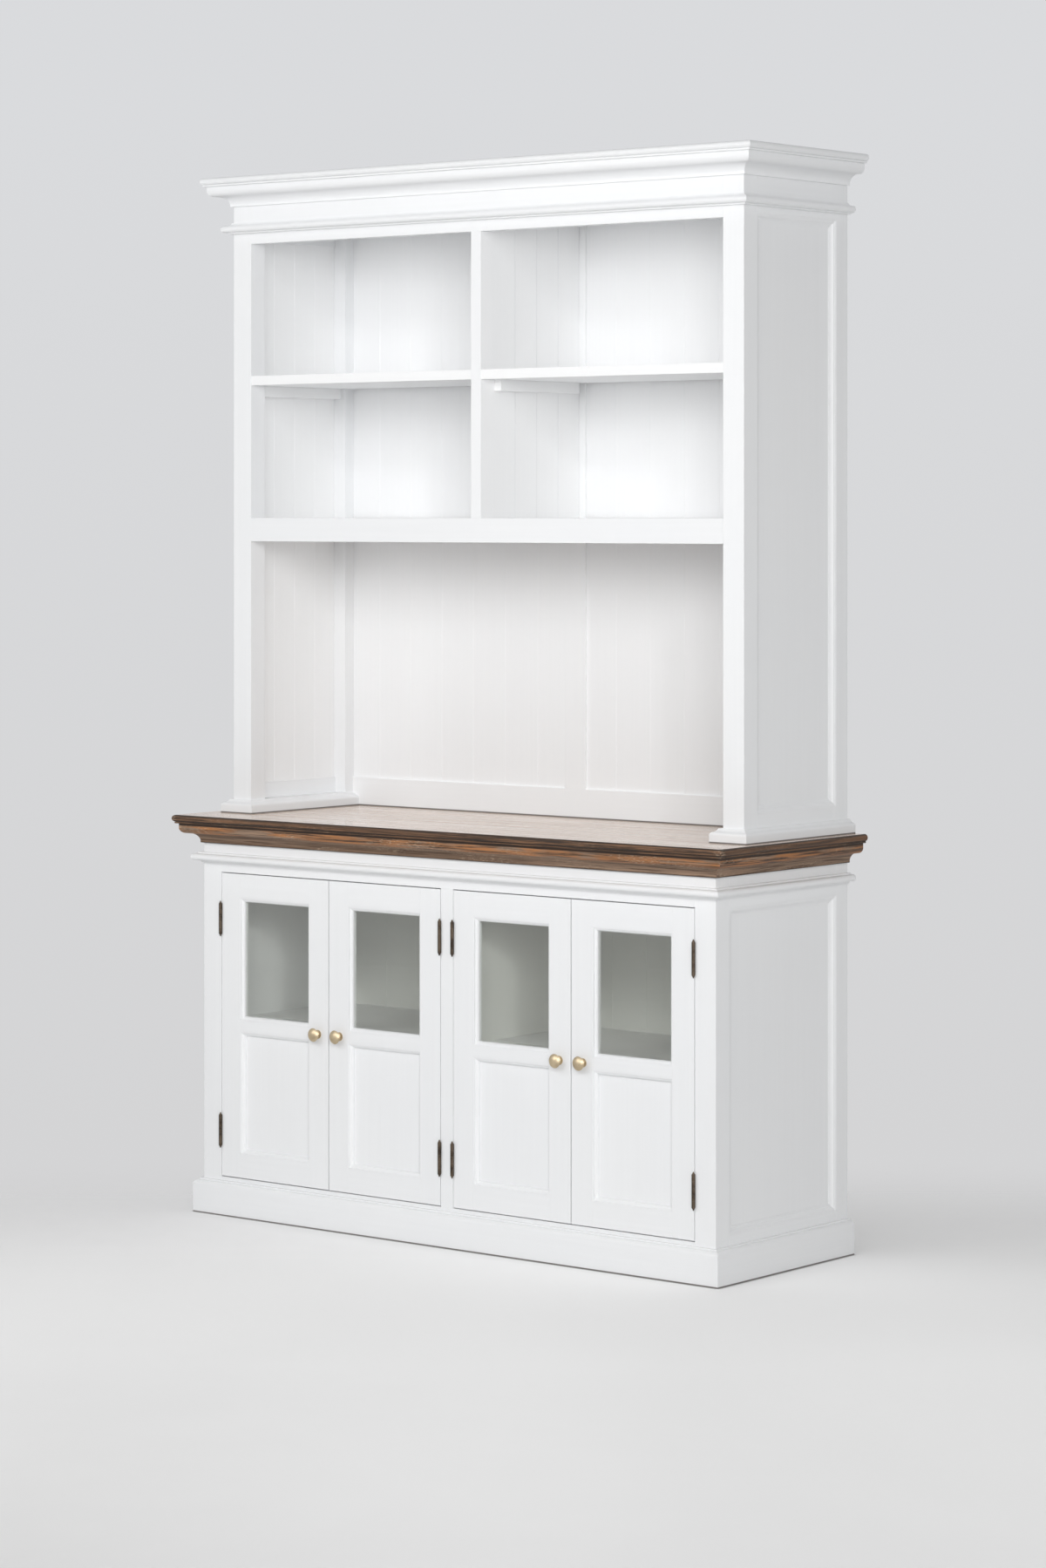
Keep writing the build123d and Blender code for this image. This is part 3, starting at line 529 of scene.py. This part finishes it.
# Nodes whose paint or wood is another than that of their slot. The brightened paints are painted
# light: lighter copies of the white paint inside the dresser and on the hutch's back.
NODE_MATERIALS = {
    "worktop_boards": TOP_WOOD,
    "base_shelves": BRIGHTENED_PAINT,
    "hutch_side_linings": BRIGHTENED_PAINT,
    "hutch_shelves": BRIGHTENED_PAINT,
    "hutch_shelf_cleats": BRIGHTENED_PAINT,
    "hutch_deck": BRIGHTENED_PAINT,
    "hutch_roof": BRIGHTENED_PAINT,
    "hutch_back_boards": BRIGHTENED_BACK_PAINT,
    "hutch_back_frame": BRIGHTENED_BACK_PAINT,
}
# Nodes with a second material on the faces that turn one way. The divider's side faces take the
# brightened paint, which is painted light.
FACE_MATERIALS = {
    "worktop_lipping": (TOP_WOOD, lambda normal: normal.z > LEVEL),
    "hutch_divider": (BRIGHTENED_PAINT, lambda normal: abs(normal.x) > LEVEL),
}


def solids_of(mesh):
    """The mesh's faces as closed groups of corner points, one group for each solid."""
    keys = [tuple(round(c / MICRON) for c in v.co) for v in mesh.vertices]
    unmatched = set()
    group = []
    for face in mesh.polygons:
        corners = [keys[i] for i in face.vertices]
        group.append(corners)
        for pair in zip(corners, corners[1:] + corners[:1]):
            if pair[::-1] in unmatched:
                unmatched.remove(pair[::-1])
            else:
                unmatched.add(pair)
        if not unmatched:
            yield group
            group = []


def is_sharp(edge):
    return len(edge.link_faces) == 2 and edge.calc_face_angle(0) > EASED_ANGLE


def is_curved(face):
    """True for a facet of a round surface, which has a neighbour that is turned only a little."""
    return any(
        len(edge.link_faces) == 2 and FLAT < edge.calc_face_angle(0) < CURVED_ANGLE
        for edge in face.edges
    )


def build_solid(faces):
    """One solid as a mesh of its own, with whole flat faces, and smooth where it is round."""
    solid = bmesh.new()
    points = {}
    for corners in faces:
        for key in corners:
            if key not in points:
                points[key] = solid.verts.new([c * MICRON for c in key])
        if len(set(corners)) == len(corners):
            solid.faces.new([points[key] for key in corners])
    bmesh.ops.dissolve_limit(solid, angle_limit=FLAT, verts=solid.verts[:], edges=solid.edges[:])
    solid.normal_update()
    for face in solid.faces:
        face.smooth = is_curved(face)
    return solid


def ease_edges(solid, arris):
    """Rounds the long sharp edges by the width of the arris."""
    edges = [e for e in solid.edges if is_sharp(e) and e.calc_length() > SHORT_EDGE]
    if not edges:
        return
    made = bmesh.ops.bevel(
        solid,
        geom=edges,
        offset=arris,
        offset_type="OFFSET",
        segments=2,
        profile=0.5,
        affect="EDGES",
        clamp_overlap=False,
    )
    for face in made["faces"]:
        face.smooth = False


def add_solid(target, solid, grain_layer, tone_layer, draw):
    """Copies the solid into the piece, with its grain laid along its longest side."""
    lows = [min(v.co[i] for v in solid.verts) for i in range(3)]
    highs = [max(v.co[i] for v in solid.verts) for i in range(3)]
    order = sorted(range(3), key=lambda i: lows[i] - highs[i])
    shift = draw.uniform(0, GRAIN_SHIFT)
    tone = draw.random()
    copies = {}
    for vertex in solid.verts:
        copy = target.verts.new(vertex.co)
        along, across, through = [vertex.co[i] - lows[i] for i in order]
        copy[grain_layer] = Vector((along + shift, across, through))
        copy[tone_layer] = tone
        copies[vertex] = copy
    for face in solid.faces:
        new = target.faces.new([copies[vertex] for vertex in face.verts])
        new.smooth = face.smooth


def soften(node, arris, material):
    """Makes the piece that stands for a CAD node, the same boards with softened edges."""
    draw = random.Random(node)
    target = bmesh.new()
    grain_layer = target.verts.layers.float_vector.new("grain")
    tone_layer = target.verts.layers.float.new("tone")
    for faces in solids_of(NODES[node].data):
        solid = build_solid(faces)
        if arris:
            ease_edges(solid, arris)
        add_solid(target, solid, grain_layer, tone_layer, draw)
        solid.free()
    mesh = bpy.data.meshes.new(node + "_dressed")
    target.to_mesh(mesh)
    target.free()
    mesh.set_sharp_from_angle(angle=CURVED_ANGLE)
    mesh.materials.append(material)
    if node in FACE_MATERIALS:
        second, is_second = FACE_MATERIALS[node]
        mesh.materials.append(second)
        for face in mesh.polygons:
            face.material_index = 1 if is_second(face.normal) else 0
    piece = bpy.data.objects.new(node + "_dressed", mesh)
    bpy.context.scene.collection.objects.link(piece)
    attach(piece, BODY_OF[node])
    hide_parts(node)


def arris_of(node):
    """How wide the node's edges are eased. Boards that have a chamfer already stay as they are."""
    if node in CHAMFERED_NODES:
        return 0
    if any(word in node for word in FINE_WORDS):
        return FINE_ARRIS
    return ARRIS


for node in sorted(NODES):
    slot = SLOT_OF[node]
    if slot in SOFTENED_SLOTS:
        soften(node, arris_of(node), NODE_MATERIALS.get(node, MATERIALS[slot]))
    else:
        mesh = NODES[node].data
        mesh.materials.clear()
        mesh.materials.append(MATERIALS[slot])


# ---- Stage ------------------------------------------------------------------------------------

PURE_WHITE = (1.0, 1.0, 1.0)
BLACK = (0.0, 0.0, 0.0)
AMBIENT_LEVEL = 0.20
AMBIENT_ABOVE = 0.27
AMBIENT_TURN = (0.0, 0.6)
WALL_LOW = (0.660, 0.660, 0.668)
WALL_HIGH = (0.700, 0.708, 0.725)
WALL_TURN = (-0.15, 0.10)
FLOOR_COLOUR = (0.900, 0.900, 0.900)
FLOOR_CLOUD = (0.8865, 0.8865, 0.8865)
FLOOR_RADIUS = 9.0
FLOOR_SIDES = 96
FLOOR_LIFT = 0.15
# Reaches of the painted shadow at the object's foot, in metres.
FOOT_SHADOW_LINE_REACH = 0.010
FOOT_SHADE_REACH = 0.07
VIEW_DIRECTION = (-math.sin(CAMERA_YAW), math.cos(CAMERA_YAW), 0)
SIDEWAYS = (math.cos(CAMERA_YAW), math.sin(CAMERA_YAW), 0)
BACKDROP_RAYS = ("Is Camera Ray", "Is Glossy Ray", "Is Transmission Ray")


def floor_material():
    """Matt and pale, with a soft dark line of painted shadow at the object's foot, and clear far
    behind it.
    """
    g = Graph(bpy.data.materials.new("floor"))
    place = g.place()
    away = g.dot(place, VIEW_DIRECTION)
    across = g.dot(place, SIDEWAYS)
    colour = g.mix(g.ranged(g.noise(place, 3.0), 0.3, 0.7), FLOOR_COLOUR, FLOOR_CLOUD)
    # Painted light and shade: the floor is lighter to the right and darker to the front left.
    painted_right_light = g.ranged(across, 0.25, 0.95, 1.0, 1.09)
    left_shade = g.times(g.ranged(across, 0.15, -0.8, 0.0, 0.12), g.ranged(away, -0.5, -1.6))
    colour = g.dimmed(colour, g.math("SUBTRACT", painted_right_light, left_shade))
    # Painted shadow: a dark line and a soft shade where the object stands, which also dim the
    # floor's glow there.
    line = g.ranged(g.nearness(FOOT_SHADOW_LINE_REACH), 0.45, 0.95, 0.40, 1.0, smooth=False)
    shade = g.ranged(g.nearness(FOOT_SHADE_REACH), 0.45, 1.0, 0.90, 1.0, smooth=False)
    foot = g.times(line, shade)
    matt = g.shader("ShaderNodeBsdfDiffuse", g.mix(foot, BLACK, colour))
    seen = g.rays(*BACKDROP_RAYS)
    raised = g.ranged(away, -2.9, -1.3, 0.0, FLOOR_LIFT, smooth=False)
    lift = g.shader("ShaderNodeEmission", PURE_WHITE, g.times(g.times(seen, foot), raised))
    lifted = g.shader("ShaderNodeAddShader", matt, lift)
    far = g.ranged(away, -0.45, 0.95)
    outer = g.ranged(g.length(place), 3.0, 6.5)
    fade = g.times(seen, g.larger(far, outer))
    clear = g.shader("ShaderNodeBsdfTransparent", PURE_WHITE)
    return g.done(g.shader("ShaderNodeMixShader", fade, lifted, clear))


def make_floor():
    """A pale floor that fades into the backdrop behind the object."""
    disc = bmesh.new()
    bmesh.ops.create_circle(disc, cap_ends=True, segments=FLOOR_SIDES, radius=FLOOR_RADIUS)
    mesh = bpy.data.meshes.new("floor")
    disc.to_mesh(mesh)
    disc.free()
    mesh.materials.append(floor_material())
    floor = bpy.data.objects.new("floor", mesh)
    bpy.context.scene.collection.objects.link(floor)


def make_world():
    """Plain grey backdrop for what is seen, and soft white light for what is lit."""
    world = bpy.data.worlds.new("studio")
    bpy.context.scene.world = world
    g = Graph(world, "ShaderNodeOutputWorld")
    height = g.split(g.add("ShaderNodeTexCoord").outputs["Generated"])[2]
    level = g.ranged(height, *AMBIENT_TURN, AMBIENT_LEVEL, AMBIENT_ABOVE, smooth=False)
    ambient = g.shader("ShaderNodeBackground", PURE_WHITE, level)
    wall = g.mix(g.ranged(height, *WALL_TURN, smooth=False), WALL_LOW, WALL_HIGH)
    backdrop = g.shader("ShaderNodeBackground", wall, 1.0)
    g.done(g.shader("ShaderNodeMixShader", g.rays(*BACKDROP_RAYS), ambient, backdrop))


make_floor()
make_world()


# ---- Lamps ------------------------------------------------------------------------------------

# Name, azimuth and elevation in degrees, distance and size in metres, watts.
SOFT_BOXES = (
    ("left", -18, 22, 3.6, 2.4, 27.0),
    ("front", 5, 21, 3.4, 1.2, 13.5),
    ("near", 28, 16, 3.6, 1.2, 10.5),
    ("right", 38, 10, 4.0, 1.2, 5.0),
    ("key", 45, 14, 5.0, 1.0, 26.0),
    ("side", 85, 2, 4.5, 1.2, 9.8),
)
# Name, azimuth, elevation and spread in degrees, strength.
SUNS = (
    ("low", 42, 5, 30, 0.53),
    ("narrow", 50, 19, 3, 0.20),
)
SUN_DISTANCE = 10


def place_lamp(data, azimuth, elevation, distance):
    """Aims a lamp at the middle of the dresser. Azimuth 0 is in front, + to the right."""
    a = math.radians(azimuth)
    e = math.radians(elevation)
    away = Vector((math.sin(a) * math.cos(e), -math.cos(a) * math.cos(e), math.sin(e)))
    lamp = bpy.data.objects.new(data.name, data)
    lamp.location = Vector((0, 0, cad_box[1].z / 2)) + away * distance
    lamp.rotation_mode = "QUATERNION"
    lamp.rotation_quaternion = (-away).to_track_quat("-Z", "Y")
    bpy.context.scene.collection.objects.link(lamp)


for name, azimuth, elevation, distance, size, watts in SOFT_BOXES:
    soft_box = bpy.data.lights.new(name, "AREA")
    soft_box.shape = "SQUARE"
    soft_box.size = size
    soft_box.energy = watts
    place_lamp(soft_box, azimuth, elevation, distance)

for name, azimuth, elevation, spread, strength in SUNS:
    sun = bpy.data.lights.new(name, "SUN")
    sun.angle = math.radians(spread)
    sun.energy = strength
    place_lamp(sun, azimuth, elevation, SUN_DISTANCE)

bpy.context.scene.view_settings.view_transform = "Standard"
